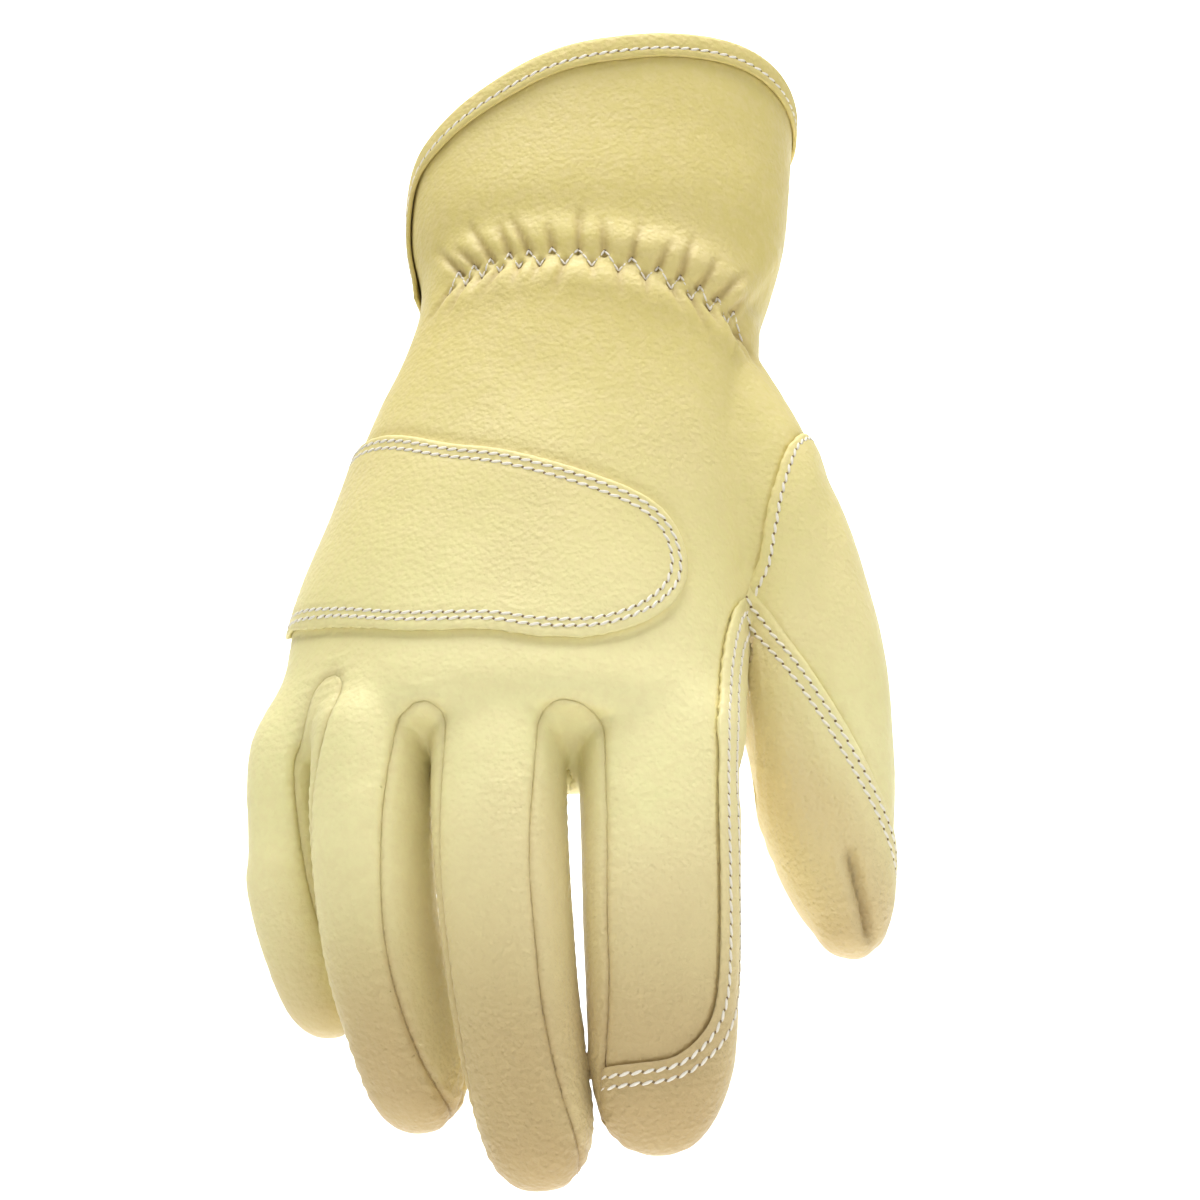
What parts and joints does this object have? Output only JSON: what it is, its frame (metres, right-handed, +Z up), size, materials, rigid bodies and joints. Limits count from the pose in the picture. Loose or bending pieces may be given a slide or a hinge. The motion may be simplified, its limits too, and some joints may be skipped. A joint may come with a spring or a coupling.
{
  "type": "leather work glove",
  "caption": "Right-hand leather work glove in the form of a hand, with a gathered wrist, a bound and notched cuff, side strips between the fingers and a knuckle strap.",
  "frame": {"origin": "middle of the mouth of the cuff, where the hand goes in", "axes": "+Z up the arm, the fingers hanging towards -Z; the back of the hand faces -Y; the thumb is on the +X side"},
  "size_m": [0.1335, 0.0643, 0.2487],
  "materials": {
    "grain_leather": "smooth grain, soft sheen",
    "strap_leather": "smooth grain, soft sheen",
    "binding_leather": "smooth grain, folded edge"
  },
  "bodies": {
    "root": {"back_panel": "grain_leather", "palm_panel": "grain_leather", "thumb_outer": "grain_leather", "thumb_inner": "grain_leather", "fourchette_middle_index": "grain_leather", "fourchette_ring_middle": "grain_leather", "fourchette_little_ring": "grain_leather", "knuckle_strap": "strap_leather", "cuff_binding": "binding_leather"}
  },
  "joints": []
}
